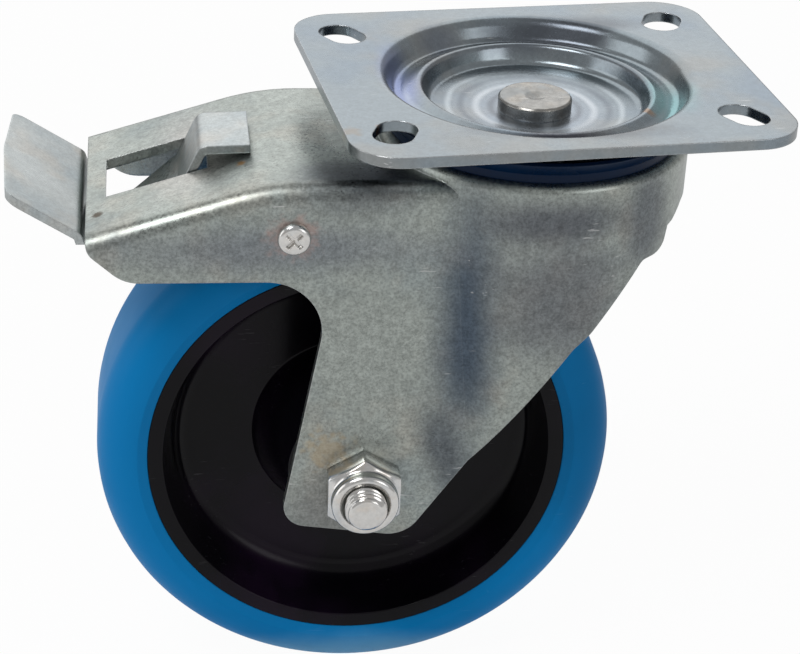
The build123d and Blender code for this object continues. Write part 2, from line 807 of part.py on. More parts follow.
with BuildPart() as brake_lever:
    with BuildSketch(fork_side):
        with BuildLine():
            FilletPolyline(*lever_bends, radius=lever_upper_radii)
            FilletPolyline(*lever_under, radius=lever_under_radii)
            Line(lever_bends[0], lever_under[0])
            Line(lever_bends[-1], lever_under[-1])
        make_face()
    extrude(amount=lever_half_width, both=True)
    with BuildSketch(fork_side):
        with Locations(pivot_spot):
            Circle(lever_barrel_radius)
    extrude(amount=lever_barrel_half_length, both=True)
    with BuildSketch(fork_top.offset(lever_bends[0][1] - lever_sheet / 2)):
        with Locations((lock_tooth_x, 0)):
            Rectangle(lock_tooth_length, lock_tooth_width)
    extrude(amount=lever_sheet / 2 + lock_tooth_height)
    with BuildSketch(fork_side):
        with Locations(pivot_spot):
            Circle(pivot_screw_radius + shaft_clearance)
    extrude(amount=wide, both=True, mode=Mode.SUBTRACT)
brake_lever.part.label = "brake_lever"
export_step(brake_lever.part, "parts/brake_lever.step")

with BuildPart() as brake_shoe:
    with BuildSketch(fork_side):
        with Locations((shoe_middle_x, -(axle_depth + pivot_depth) / 2)):
            Rectangle(shoe_length, axle_depth - pivot_depth)
        with Locations(swing_back(axle_spot, pivot_spot, lever_travel)):
            Circle(wheel_radius + shoe_gap, mode=Mode.SUBTRACT)
        with BuildLine():
            FilletPolyline(*lever_under, radius=lever_under_radii)
            Polyline(lever_under[0], (lever_under[0][0], 0), (lever_under[-1][0], 0), lever_under[-1])
        make_face(mode=Mode.SUBTRACT)
    extrude(amount=shoe_half_width, both=True)
brake_shoe.part.label = "brake_shoe"
export_step(brake_shoe.part, "parts/brake_shoe.step")

with BuildPart() as pivot_screw:
    with BuildSketch(pivot_section):
        with BuildLine():
            FilletPolyline(
                (pivot_end_reach, 0),
                (pivot_end_reach, pivot_screw_radius),
                (-leg_half_width, pivot_screw_radius),
                (-leg_half_width, pivot_head_radius),
                (-leg_half_width - pivot_head_height, pivot_head_radius),
                (-leg_half_width - pivot_head_height, 0),
                radius=[0, 0, 0, 0, pivot_head_round, 0],
                close=True,
            )
        make_face()
    revolve(axis=pivot_axis)
    with BuildSketch(near_leg.offset(pivot_head_height)):
        with Locations(pivot_spot):
            Rectangle(pivot_recess_length, pivot_recess_width, rotation=45)
            Rectangle(pivot_recess_width, pivot_recess_length, rotation=45)
    extrude(amount=-pivot_recess_depth, mode=Mode.SUBTRACT)
pivot_screw.part.label = "pivot_screw"
export_step(pivot_screw.part, "parts/pivot_screw.step")

with BuildPart() as pivot_nut:
    with BuildSketch(far_leg):
        with Locations((-pivot_x, -pivot_depth)):
            RegularPolygon(pivot_nut_wrench_size / 2, 6, major_radius=False)
            Circle(pivot_screw_radius + shaft_clearance, mode=Mode.SUBTRACT)
    extrude(amount=pivot_nut_height)
pivot_nut.part.label = "pivot_nut"
export_step(pivot_nut.part, "parts/pivot_nut.step")
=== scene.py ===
"""Looks of the swivel castor: zinc-plated plate and fork, blue tyre on a black rim, and the pedal brake.

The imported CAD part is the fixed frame. Everything here is in metres, in the part's own frame: the origin is
the middle of the plate's upper face, +Z is up and the fork stands turned about the swivel axis.
"""

import json
import logging
import math
from dataclasses import dataclass
from enum import Enum

import bmesh
import bpy
import numpy as np
from mathutils import Matrix, Vector

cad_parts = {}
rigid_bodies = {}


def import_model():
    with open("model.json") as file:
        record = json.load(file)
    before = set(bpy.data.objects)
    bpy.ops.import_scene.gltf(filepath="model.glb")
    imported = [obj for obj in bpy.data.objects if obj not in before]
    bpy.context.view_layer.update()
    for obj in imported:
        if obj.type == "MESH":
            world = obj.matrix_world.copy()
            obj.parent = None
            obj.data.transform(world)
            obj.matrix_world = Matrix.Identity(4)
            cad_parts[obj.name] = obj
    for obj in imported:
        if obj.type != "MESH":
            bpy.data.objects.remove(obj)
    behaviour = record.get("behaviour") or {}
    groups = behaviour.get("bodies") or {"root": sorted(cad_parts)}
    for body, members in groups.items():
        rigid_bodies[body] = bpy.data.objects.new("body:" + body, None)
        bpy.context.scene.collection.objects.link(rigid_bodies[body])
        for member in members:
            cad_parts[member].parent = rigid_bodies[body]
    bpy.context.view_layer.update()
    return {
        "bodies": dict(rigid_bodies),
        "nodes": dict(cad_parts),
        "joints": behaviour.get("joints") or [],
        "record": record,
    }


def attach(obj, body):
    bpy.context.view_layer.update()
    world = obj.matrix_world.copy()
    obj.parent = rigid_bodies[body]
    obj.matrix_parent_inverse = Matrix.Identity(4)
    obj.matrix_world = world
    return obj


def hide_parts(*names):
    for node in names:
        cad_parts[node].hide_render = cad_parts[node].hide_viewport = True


LOG = logging.getLogger("castor")
MM = 0.001
MERGE_DISTANCE = 1e-7
WORN_METAL = (0.86, 0.87, 0.88)
SCUFFED_METAL = (0.8, 0.8, 0.8)
PLASTIC_GRAIN = (1500.0, 380.0)
PLASTIC_CLOUD = 26.0
Colour = tuple[float, float, float]
Tree = bpy.types.NodeTree
Outlet = bpy.types.NodeSocket
ShadeNode = bpy.types.Node


class Socket(Enum):
    """Kinds of sockets that the shared node groups use."""

    VALUE = "NodeSocketFloat"
    COLOUR = "NodeSocketColor"
    VECTOR = "NodeSocketVector"


# ---------------------------------------------------------------- frame of the fork and of the wheel
@dataclass(frozen=True)
class ForkFrame:
    """Where the swung parts stand in the part's frame."""

    swivel_deg: float = -6.6
    wheel_offset: float = 40.0 * MM
    axle_depth: float = 92.5 * MM

    def turn(self) -> np.ndarray:
        """Rotation about the swivel axis.

        Returns:
            A 3 by 3 array.
        """
        c, s = math.cos(math.radians(self.swivel_deg)), math.sin(math.radians(self.swivel_deg))
        return np.array([[c, -s, 0.0], [s, c, 0.0], [0.0, 0.0, 1.0]])

    def place(self, points: np.ndarray) -> np.ndarray:
        """Points drawn on the straight fork, as they stand in the part's frame.

        Args:
            points: array whose last axis is x forward, y to the far side and z up.

        Returns:
            The same points turned about the swivel axis.
        """
        return points @ self.turn().T

    def axle(self) -> np.ndarray:
        """Middle of the wheel on the straight fork.

        Returns:
            Array of x, y and z in metres.
        """
        return np.array([-self.wheel_offset, 0.0, -self.axle_depth])


FORK = ForkFrame()


# ---------------------------------------------------------------- meshes
def mesh_object(name: str, verts: np.ndarray, faces: np.ndarray, smooth: bool = True) -> bpy.types.Object:
    """Makes an object from whole arrays of corners and faces.

    Args:
        name: the piece's name.
        verts: n by 3 array of places in the part's frame.
        faces: m by 4 (or m by 3) array of corner numbers.
        smooth: whether its faces are shaded smooth.

    Returns:
        The new object, linked to the scene, standing at the origin.
    """
    mesh = bpy.data.meshes.new(name)
    mesh.from_pydata(np.asarray(verts, float).tolist(), [], np.asarray(faces, int).tolist())
    mesh.validate()
    mesh.polygons.foreach_set("use_smooth", np.full(len(mesh.polygons), smooth))
    mesh.update()
    made = bpy.data.objects.new(name, mesh)
    bpy.context.scene.collection.objects.link(made)
    return made


def grid_faces(rows: int, columns: int, wrap_rows: bool, wrap_columns: bool) -> np.ndarray:
    """Quads of a grid of corners, closed on itself along either way.

    Args:
        rows: corners along the first parameter.
        columns: corners along the second parameter.
        wrap_rows: whether the last row meets the first.
        wrap_columns: whether the last column meets the first.

    Returns:
        Array of quads, wound so that row step times column step points outwards.
    """
    i = np.arange(rows if wrap_rows else rows - 1)
    j = np.arange(columns if wrap_columns else columns - 1)
    i, j = (a.ravel() for a in np.meshgrid(i, j, indexing="ij"))
    after_i, after_j = (i + 1) % rows, (j + 1) % columns
    corners = ((i, j), (after_i, j), (after_i, after_j), (i, after_j))
    return np.stack([row * columns + column for row, column in corners], 1)


def rounded_profile(corners: list[tuple[float, float, float]], steps: int = 8) -> np.ndarray:
    """Closed outline through corners, each rounded by an arc.

    A corner with radius r is cut back by r times the tangent of half its turn on both sides, and the arc
    between the cuts has its middle at distance r from both of them.

    Args:
        corners: (along, out, radius) for each corner, in order round the outline.
        steps: pieces in each arc.

    Returns:
        n by 2 array of points round the outline.
    """
    points = np.array([c[:2] for c in corners], float)
    found: list[np.ndarray] = []
    for k, (_, _, radius) in enumerate(corners):
        here, before, after = points[k], points[k - 1], points[(k + 1) % len(points)]
        u = (before - here) / np.linalg.norm(before - here)
        v = (after - here) / np.linalg.norm(after - here)
        half = math.acos(float(np.clip(u @ v, -1, 1))) / 2
        if radius <= 0 or half > math.pi / 2 - 1e-4:
            found.append(here[None])
            continue
        middle = here + (u + v) / np.linalg.norm(u + v) * radius / math.sin(half)
        start, end = here + u * radius / math.tan(half), here + v * radius / math.tan(half)
        a0 = math.atan2(*(start - middle)[::-1])
        sweep = (math.atan2(*(end - middle)[::-1]) - a0 + math.pi) % (2 * math.pi) - math.pi
        angle = a0 + sweep * np.linspace(0, 1, steps + 1)
        found.append(middle + radius * np.stack([np.cos(angle), np.sin(angle)], 1))
    return np.concatenate(found)


def spin_about_axle(name: str, outline: np.ndarray, segments: int) -> bpy.types.Object:
    """Turns an outline about the axle.

    A point (a, r) of the outline at angle t stands a along the axle and r times (cos t, sin t) out of it.

    Args:
        name: the piece's name.
        outline: n by 2 array of (along the axle, radius).
        segments: steps round the axle.

    Returns:
        The finished piece.
    """
    angle = np.linspace(0, 2 * math.pi, segments, endpoint=False)[:, None]
    along, radius = outline[None, :, 0], outline[None, :, 1]
    along = np.broadcast_to(along, (segments, len(outline)))
    local = np.stack([radius * np.cos(angle), along, radius * np.sin(angle)], -1)
    verts = FORK.place(local + FORK.axle()).reshape(-1, 3)
    made = mesh_object(name, verts, grid_faces(segments, len(outline), True, True))
    face_outwards(made)
    return made


def face_outwards(made: bpy.types.Object) -> None:
    """Joins corners that lie on one another and turns a closed mesh's faces outwards.

    Args:
        made: the piece.
    """
    work = bmesh.new()
    work.from_mesh(made.data)
    bmesh.ops.remove_doubles(work, verts=work.verts, dist=MERGE_DISTANCE)
    bmesh.ops.recalc_face_normals(work, faces=work.faces)
    if work.calc_volume(signed=True) < 0:
        bmesh.ops.reverse_faces(work, faces=work.faces)
    work.to_mesh(made.data)
    work.free()


# ---------------------------------------------------------------- shared shader groups
class NodeMaker:
    """Adds nodes to one tree."""

    def __init__(self, tree: Tree) -> None:
        """Keeps the tree.

        Args:
            tree: the tree that the nodes go into.
        """
        self.tree = tree

    def link(self, start: Outlet, end: Outlet) -> None:
        """Joins two sockets.

        Args:
            start: where the value comes from.
            end: where it goes.
        """
        self.tree.links.new(start, end)

    def node(self, kind: str, **settings: object) -> ShadeNode:
        """Adds a node of a kind to a tree and sets its own properties.

        Args:
            kind: the node's type name.
            settings: properties of the node, by name.

        Returns:
            The node.
        """
        made = self.tree.nodes.new(kind)
        for key, value in settings.items():
            setattr(made, key, value)
        return made

    def feed(self, socket: Outlet, value: object) -> None:
        """Links a value to an input, or sets the input to it.

        Args:
            socket: the input.
            value: another node's socket, or the input's own value.
        """
        if isinstance(value, Outlet):
            self.link(value, socket)
        else:
            socket.default_value = value

    def maths(self, operation: str, first: object, second: object = None) -> Outlet:
        """Adds a Math node whose inputs are sockets or numbers.

        Args:
            operation: the sum to do, as Blender names it.
            first: socket or number.
            second: socket or number, or None for an operation of one input.

        Returns:
            The node's result.
        """
        made = self.node("ShaderNodeMath", operation=operation)
        for socket, value in zip(made.inputs, (first, second)):
            if value is not None:
                self.feed(socket, value)
        return made.outputs[0]

    def times(self, first: object, second: object) -> Outlet:
        """Multiplies two values, described under maths."""
        return self.maths("MULTIPLY", first, second)

    def vectors(
        self, operation: str, first: Outlet, second: Outlet | tuple[float, ...] | None = None
    ) -> Outlet:
        """Adds a Vector Math node.

        Args:
            operation: the sum to do, as Blender names it.
            first: the first vector.
            second: the second one, as a socket or three numbers, or None where the sum takes one.

        Returns:
            The node's result: a number for a length, a distance or a dot product.
        """
        made = self.node("ShaderNodeVectorMath", operation=operation)
        self.feed(made.inputs[0], first)
        if second is not None:
            self.feed(made.inputs[1], second)
        number = operation in ("LENGTH", "DISTANCE", "DOT_PRODUCT")
        return made.outputs["Value" if number else "Vector"]

    def mix(self, share: object, first: object, second: object, blend: str = "MIX") -> Outlet:
        """Adds a colour mix whose inputs are sockets, numbers or colours.

        Args:
            share: how much of the second colour shows.
            first: colour under.
            second: colour over.
            blend: how the two are mixed.

        Returns:
            The mixed colour.
        """
        made = self.node("ShaderNodeMix", data_type="RGBA", blend_type=blend)
        self.feed(made.inputs[0], share)
        for index, value in ((6, first), (7, second)):
            self.feed(made.inputs[index], value if isinstance(value, Outlet) else (*value, 1.0))
        return made.outputs[2]

    def noise(self, where: Outlet, scale: object, detail: float = 2.0, rough: float = 0.5) -> Outlet:
        """Adds a noise pattern.

        Args:
            where: the vector it reads.
            scale: socket or number, in waves per metre.
            detail: octaves.
            rough: how strong the finer octaves are.

        Returns:
            Its value, about 0 to 1.
        """
        made = self.node("ShaderNodeTexNoise")
        for name, value in (("Vector", where), ("Scale", scale), ("Detail", detail), ("Roughness", rough)):
            self.feed(made.inputs[name], value)
        return made.outputs["Fac"]

    def spread(
        self, value: Outlet, low: object, high: object, to_low: float = 0.0, to_high: float = 1.0
    ) -> Outlet:
        """Maps a range of a value smoothly onto another range.

        Args:
            value: the value to map.
            low: where the new range starts.
            high: where the new range ends.
            to_low: result at and below low.
            to_high: result at and above high.

        Returns:
            The mapped value.
        """
        made = self.node("ShaderNodeMapRange", interpolation_type="SMOOTHSTEP")
        self.link(value, made.inputs["Value"])
        for name, given in (("From Min", low), ("From Max", high), ("To Min", to_low), ("To Max", to_high)):
            self.feed(made.inputs[name], given)
        return made.outputs["Result"]

    def place(self) -> Outlet:
        """The place on the piece, in the part's frame.

        Returns:
            The place, as a vector.
        """
        return self.node("ShaderNodeTexCoord").outputs["Object"]

    def group(self, group: Tree, **values: object) -> ShadeNode:
        """Places a shared group in a material.

        Args:
            group: the shared group.
            values: values for its inputs, by name.

        Returns:
            The group's node.
        """
        made = self.tree.nodes.new("ShaderNodeGroup")
        made.node_tree = group
        for key, value in values.items():
            made.inputs[key].default_value = value
        return made

    def around(self, pattern: Outlet, middle: float, swing: float) -> Outlet:
        """Swings a number about its middle over the range that a noise mostly has.

        Args:
            pattern: the noise.
            middle: the number's middle.
            swing: how far it goes either way.

        Returns:
            The swung value.
        """
        return self.spread(pattern, 0.3, 0.7, middle - swing, middle + swing)

    def bump(
        self, shader: ShadeNode, grain: ShadeNode, edges: ShadeNode, strength: float, distance: float
    ) -> None:
        """Gives a shader the grain's height on top of the softened edges' normal.

        Args:
            shader: the main shader.
            grain: the placed grain group.
            edges: the placed edge group.
            strength: how much of the height shows.
            distance: the height in metres.
        """
        bump = self.node("ShaderNodeBump")
        values = {
            "Strength": strength, "Distance": distance,
            "Height": grain.outputs["Height"], "Normal": edges.outputs["Normal"],
        }
        for name, value in values.items():
            self.feed(bump.inputs[name], value)
        self.link(bump.outputs["Normal"], shader.inputs["Normal"])

    def grey(self, value: Outlet) -> Outlet:
        """Makes a grey of a value.

        Args:
            value: how light it is.

        Returns:
            The colour.
        """
        made = self.node("ShaderNodeCombineColor")
        for socket in made.inputs:
            self.link(value, socket)
        return made.outputs["Color"]


class GroupMaker(NodeMaker):
    """Builds one shared node group with named inputs and outputs."""

    def __init__(self, name: str, **inputs: float | tuple[float, ...]) -> None:
        """Starts a group.

        Args:
            name: the group's name.
            inputs: usual value of each input; three numbers make a vector and four a colour.
        """
        super().__init__(bpy.data.node_groups.new(name, "ShaderNodeTree"))
        for key, default in inputs.items():
            size = len(default) if isinstance(default, tuple) else 1
            kind = {1: Socket.VALUE, 3: Socket.VECTOR, 4: Socket.COLOUR}[size]
            made = self.tree.interface.new_socket(key, in_out="INPUT", socket_type=kind.value)
            made.default_value = default
        self.source = self.tree.nodes.new("NodeGroupInput")

    def given(self, name: str) -> Outlet:
        """The value of an input.

        Args:
            name: the input's name.

        Returns:
            Its socket inside the group.
        """
        return self.source.outputs[name]

    def finish(self, **outputs: Outlet) -> Tree:
        """Puts the group's results out.

        Args:
            outputs: the socket that each output shows; Colour is a colour and Normal a vector.

        Returns:
            The group.
        """
        kinds = {"Colour": Socket.COLOUR, "Normal": Socket.VECTOR}
        for key in outputs:
            kind = kinds.get(key, Socket.VALUE)
            self.tree.interface.new_socket(key, in_out="OUTPUT", socket_type=kind.value)
        target = self.tree.nodes.new("NodeGroupOutput")
        for key, socket in outputs.items():
            self.link(socket, target.inputs[key])
        return self.tree


class SharedGroups:
    """Effects that several finishes use, each built once."""

    def __init__(self) -> None:
        """Builds every group."""
        self.plating = self.build_plating()
        self.grain = self.build_grain()
        self.stain = self.build_stain()
        self.scratches = self.build_scratches()
        self.edges = self.build_edges()
        self.zone = self.build_zone()
        self.ring = self.build_ring()

    def build_plating(self) -> Tree:
        """Cloudy colour of zinc plating: two broad noises swing a base colour towards a cool and a warm one.

        Returns:
            The group.
        """
        g = GroupMaker(
            "zinc_plating", Base=(0.6, 0.6, 0.6, 1), Cool=(0.5, 0.6, 0.65, 1), Warm=(0.65, 0.6, 0.5, 1),
            Strength=0.5, Size=30.0,
        )
        where = g.place()
        broad = g.noise(where, g.given("Size"), 3.0, 0.55)
        shifted = g.node("ShaderNodeMapping")
        shifted.inputs["Location"].default_value = (0.31, 0.17, 0.23)
        g.link(where, shifted.inputs["Vector"])
        finer = g.times(g.given("Size"), 1.9)
        other = g.noise(shifted.outputs["Vector"], finer, 3.0)
        cool = g.times(g.spread(broad, 0.45, 0.68), g.given("Strength"))
        warm = g.times(g.spread(other, 0.48, 0.7), g.given("Strength"))
        first = g.mix(cool, g.given("Base"), g.given("Cool"))
        second = g.mix(warm, first, g.given("Warm"))
        return g.finish(Colour=second, Cloud=broad)

    def build_grain(self) -> Tree:
        """Fine grain: a speckle of tight noise, with a softer orange-peel wave under it.

        Returns:
            The group.
        """
        g = GroupMaker("metal_grain", Scale=2600.0, Peel=260.0)
        where = g.place()
        fine = g.noise(where, g.given("Scale"), 2.0, 0.7)
        peel = g.noise(where, g.given("Peel"), 3.0, 0.5)
        return g.finish(Speckle=fine, Height=g.maths("ADD", g.times(fine, 0.35), g.times(peel, 0.65)))

    def build_stain(self) -> Tree:
        """One stain: 1 inside a radius of a point and 0 outside, with an edge that a noise frays.

        Returns:
            The group.
        """
        g = GroupMaker("stain_spot", Centre=(0.0, 0.0, 0.0), Radius=0.004, Fray=0.4)
        where = g.place()
        ratio = g.maths("DIVIDE", g.vectors("DISTANCE", where, g.given("Centre")), g.given("Radius"))
        wave = g.maths("SUBTRACT", g.noise(where, 420.0, 3.0), 0.5)
        edge = g.maths("ADD", ratio, g.times(g.times(wave, g.given("Fray")), 4.0))
        return g.finish(Mask=g.spread(edge, 0.35, 1.1, 1.0, 0.0))

    def build_zone(self) -> Tree:
        """A broad tint with a soft edge: a real tone in some places, painted light or shade in most others.

        The place less the centre, turned back onto the straight fork and divided by three radii, gives a
        length that fades from 1 inside to 0 at one radius, and a slow noise makes that edge wander.

        Returns:
            The group.
        """
        g = GroupMaker("soft_zone", Centre=(0.0, 0.0, 0.0), Radii=(0.01, 0.01, 0.01), Lean=0.0, Core=0.2)
        where = g.place()
        straight = g.node("ShaderNodeVectorRotate", rotation_type="Z_AXIS")
        g.link(g.vectors("SUBTRACT", where, g.given("Centre")), straight.inputs["Vector"])
        straight.inputs["Angle"].default_value = -math.radians(FORK.swivel_deg)
        leant = g.node("ShaderNodeVectorRotate", rotation_type="Y_AXIS")
        g.link(straight.outputs["Vector"], leant.inputs["Vector"])
        g.link(g.given("Lean"), leant.inputs["Angle"])
        length = g.vectors("LENGTH", g.vectors("DIVIDE", leant.outputs["Vector"], g.given("Radii")))
        wave = g.maths("SUBTRACT", g.noise(where, 90.0, 3.0), 0.5)
        reach = g.maths("ADD", length, g.times(wave, 0.35))
        return g.finish(Mask=g.spread(reach, g.given("Core"), 1.0, 1.0, 0.0))

    def build_ring(self) -> Tree:
        """A ring about the swivel axis, which paints shade and highlights onto the steps of the plate's dish.

        It shows how near the distance from the axis comes to the radius, over the width, with a slow noise
        that moves the ring in and out and breaks it up.

        Returns:
            The group.
        """
        g = GroupMaker("ring_band", Radius=0.02, Width=0.002)
        where = g.place()
        out = g.vectors("LENGTH", g.vectors("MULTIPLY", where, (1.0, 1.0, 0.0)))
        wave = g.noise(where, 60.0, 2.0)
        moved = g.maths("ADD", out, g.times(wave, 2.0 * MM))
        apart = g.maths("ABSOLUTE", g.maths("SUBTRACT", moved, g.given("Radius")))
        near = g.spread(g.maths("DIVIDE", apart, g.given("Width")), 0.0, 1.0, 1.0, 0.0)
        return g.finish(Mask=g.times(near, g.spread(wave, 0.3, 0.6, 0.5, 1.0)))

    def build_scratches(self) -> Tree:
        """Thin scuffs: noise drawn out along one way, kept only where it peaks.

        Returns:
            The group.
        """
        g = GroupMaker("thin_scuffs", Scale=90.0, Amount=0.5)
        where = g.place()
        long_way = g.node("ShaderNodeMapping")
        long_way.inputs["Rotation"].default_value = (0.3, 0.5, 0.9)
        long_way.inputs["Scale"].default_value = (1.0, 14.0, 14.0)
        g.link(where, long_way.inputs["Vector"])
        lines = g.noise(long_way.outputs["Vector"], g.given("Scale"), 2.0, 0.6)
        patches = g.spread(g.noise(where, 55.0, 2.0), 0.5, 0.62)
        peaks = g.times(g.spread(lines, 0.66, 0.74), patches)
        return g.finish(Mask=g.times(peaks, g.given("Amount")))

    def build_edges(self) -> Tree:
        """Edge mask: how far the rounded-over normal leans from the face's own, so 1 on edges.

        Returns:
            The group.
        """
        g = GroupMaker("edge_wear", Width=0.0006)
        soft = g.node("ShaderNodeBevel", samples=6)
        g.link(g.given("Width"), soft.inputs["Radius"])
        face = g.node("ShaderNodeNewGeometry")
        lean = g.vectors("DOT_PRODUCT", soft.outputs["Normal"], face.outputs["Normal"])
        return g.finish(Mask=g.spread(lean, 0.8, 0.995, 1.0, 0.0), Normal=soft.outputs["Normal"])


# ---------------------------------------------------------------- finishes
class MaterialMaker(NodeMaker):
    """Adds nodes to a new material, round its main shader."""

    def __init__(self, name: str) -> None:
        """Starts the material.

        Args:
            name: the material's name.
        """
        self.material = bpy.data.materials.new(name)
        self.material.use_nodes = True
        super().__init__(self.material.node_tree)
        self.shader = self.tree.nodes["Principled BSDF"]


class Mark:
    """Something laid over a finish's colour through a mask."""

    colour: Colour
    strength: float

    def mask(self, maker: NodeMaker, groups: SharedGroups) -> Outlet:
        """Where the mark shows.

        Args:
            maker: the material's nodes.
            groups: the shared shader groups.

        Returns:
            The mask, 1 where it shows fully.
        """
        raise NotImplementedError

    def tint(self, maker: NodeMaker, groups: SharedGroups, under: Outlet) -> Outlet:
        """Lays the mark's colour over the colour under it.

        Args:
            maker: the material's nodes.
            groups: the shared shader groups.
            under: the colour so far.

        Returns:
            The tinted colour.
        """
        share = maker.times(self.mask(maker, groups), self.strength)
        return maker.mix(share, under, self.colour)


@dataclass(frozen=True)
class Stain(Mark):
    """A discoloured spot at a place on the straight fork, or on the plate, in millimetres."""

    centre: tuple[float, float, float]
    radius: float
    colour: Colour
    strength: float
    fray: float = 0.4
    on_fork: bool = True

    def place(self) -> tuple[float, float, float]:
        """Where the spot stands.

        Returns:
            Its place in the part's frame, in metres.
        """
        point = np.array(self.centre) * MM
        return tuple(float(x) for x in (FORK.place(point) if self.on_fork else point))

    def mask(self, maker: NodeMaker, groups: SharedGroups) -> Outlet:
        """Where the spot shows, described under Mark."""
        made = maker.group(groups.stain, Centre=self.place(), Radius=self.radius * MM, Fray=self.fray)
        return made.outputs["Mask"]


@dataclass(frozen=True)
class ToneAndLightZone(Mark):
    """A broad area of another tone, soft at its edge, drawn on the straight fork in millimetres; most are
    painted light or shade, a few a real tint.

    One on the plate is drawn the same way, so it stands turned by the fork's rest angle too.
    """

    centre: tuple[float, float, float]
    radii: tuple[float, float, float]
    colour: Colour
    strength: float
    lean_deg: float = 0.0
    core: float = 0.2

    def mask(self, maker: NodeMaker, groups: SharedGroups) -> Outlet:
        """Where the area shows, described under Mark."""
        centre = tuple(float(x) * MM for x in FORK.place(np.array(self.centre)))
        radii = tuple(x * MM for x in self.radii)
        lean = math.radians(self.lean_deg)
        made = maker.group(groups.zone, Centre=centre, Radii=radii, Lean=lean, Core=self.core)
        return made.outputs["Mask"]


@dataclass(frozen=True)
class PaintedLightAndShadeRing(Mark):
    """A soft ring about the swivel axis, in millimetres: painted shade where its colour is dark, a painted
    highlight where it is light.
    """

    radius: float
    half_width: float
    colour: Colour
    strength: float

    def mask(self, maker: NodeMaker, groups: SharedGroups) -> Outlet:
        """Where the ring shows, described under Mark."""
        made = maker.group(groups.ring, Radius=self.radius * MM, Width=self.half_width * MM)
        return made.outputs["Mask"]


@dataclass(frozen=True)
class ZincFinish:
    """Zinc-plated steel: a cloudy grey with cool and warm patches, fine grain and brighter worn edges, with
    zones and rings that paint light and shade over the colour.
    """

    name: str
    base: Colour
    cool: Colour
    warm: Colour
    cloud: float = 0.5
    cloud_size: float = 32.0
    roughness: float = 0.34
    roughness_swing: float = 0.16
    grain_scale: float = 1500.0
    mottle: float = 0.16
    peel: float = 0.05
    edge_width: float = 0.5 * MM
    edge_brightness: float = 0.3
    bump_distance: float = 0.6 * MM
    mottle_scale: float = 520.0
    speckle: float = 0.3
    scuffs: float = 0.5
    tone_and_light_zones: tuple[ToneAndLightZone, ...] = ()
    painted_light_rings: tuple[PaintedLightAndShadeRing, ...] = ()
    stains: tuple[Stain, ...] = ()

    def build(self, groups: SharedGroups) -> bpy.types.Material:
        """Makes the material.

        Args:
            groups: the shared shader groups.

        Returns:
            The material.
        """
        maker = MaterialMaker(self.name)
        shader = maker.shader
        plating = maker.group(
            groups.plating, Base=(*self.base, 1), Cool=(*self.cool, 1), Warm=(*self.warm, 1),
            Strength=self.cloud, Size=self.cloud_size,
        )
        grain = maker.group(groups.grain, Scale=self.grain_scale)
        edges = maker.group(groups.edges, Width=self.edge_width)
        scuffs = maker.group(groups.scratches, Amount=self.scuffs)
        colour = plating.outputs["Colour"]
        # zones of painted light and shade, and a few real tints, over the plating colour
        for area in self.tone_and_light_zones:
            colour = area.tint(maker, groups, colour)
        blotch = maker.noise(maker.place(), self.mottle_scale, 4.0, 0.62)
        for pattern, swing in ((grain.outputs["Speckle"], self.speckle / 2), (blotch, self.mottle)):
            tone = maker.around(pattern, 1.0, swing)
            colour = maker.mix(1.0, colour, maker.grey(tone), "MULTIPLY")
        # rings of painted shade and painted highlight over the colour
        for ring in self.painted_light_rings:
            colour = ring.tint(maker, groups, colour)
        for spot in self.stains:
            colour = spot.tint(maker, groups, colour)
        worn = maker.times(edges.outputs["Mask"], self.edge_brightness)
        colour = maker.mix(worn, colour, WORN_METAL)
        colour = maker.mix(scuffs.outputs["Mask"], colour, SCUFFED_METAL)
        maker.link(colour, shader.inputs["Base Color"])
        shader.inputs["Metallic"].default_value = 1.0
        swing = maker.around(plating.outputs["Cloud"], self.roughness, self.roughness_swing / 2)
        speck = maker.maths("SUBTRACT", grain.outputs["Speckle"], 0.5)
        speckled = maker.maths("ADD", swing, maker.times(speck, self.speckle))
        maker.link(speckled, shader.inputs["Roughness"])
        maker.bump(shader, grain, edges, self.peel, self.bump_distance)
        return maker.material


@dataclass(frozen=True)
class MouldedFinish:
    """Moulded plastic or rubber: one colour with faint patches, a light texture and a set gloss, with zones
    that paint light and shade over it.
    """

    name: str
    base: Colour
    patch: Colour
    patch_share: float = 0.3
    roughness: float = 0.4
    roughness_swing: float = 0.12
    texture: float = 0.05
    dust: Colour = (0.5, 0.5, 0.5)
    dust_share: float = 0.0
    bump_distance: float = 0.4 * MM
    edge_width: float = 0.4 * MM
    specular: float = 0.5
    tone_and_light_zones: tuple[ToneAndLightZone, ...] = ()

    def build(self, groups: SharedGroups) -> bpy.types.Material:
        """Makes the material.

        Args:
            groups: the shared shader groups.

        Returns:
            The material.
        """
        maker = MaterialMaker(self.name)
        shader = maker.shader
        plating = maker.group(
            groups.plating, Base=(*self.base, 1), Cool=(*self.patch, 1), Warm=(*self.base, 1),
            Strength=self.patch_share, Size=PLASTIC_CLOUD,
        )
        grain = maker.group(groups.grain, Scale=PLASTIC_GRAIN[0], Peel=PLASTIC_GRAIN[1])
        edges = maker.group(groups.edges, Width=self.edge_width)
        scuffs = maker.group(groups.scratches, Amount=self.dust_share)
        colour = plating.outputs["Colour"]
        # zones of painted light and shade over the moulded colour
        for area in self.tone_and_light_zones:
            colour = area.tint(maker, groups, colour)
        colour = maker.mix(scuffs.outputs["Mask"], colour, self.dust)
        shader.inputs["Specular IOR Level"].default_value = self.specular
        maker.link(colour, shader.inputs["Base Color"])
        swing = maker.around(plating.outputs["Cloud"], self.roughness, self.roughness_swing / 2)
        maker.link(swing, shader.inputs["Roughness"])
        maker.bump(shader, grain, edges, self.texture, self.bump_distance)
        return maker.material


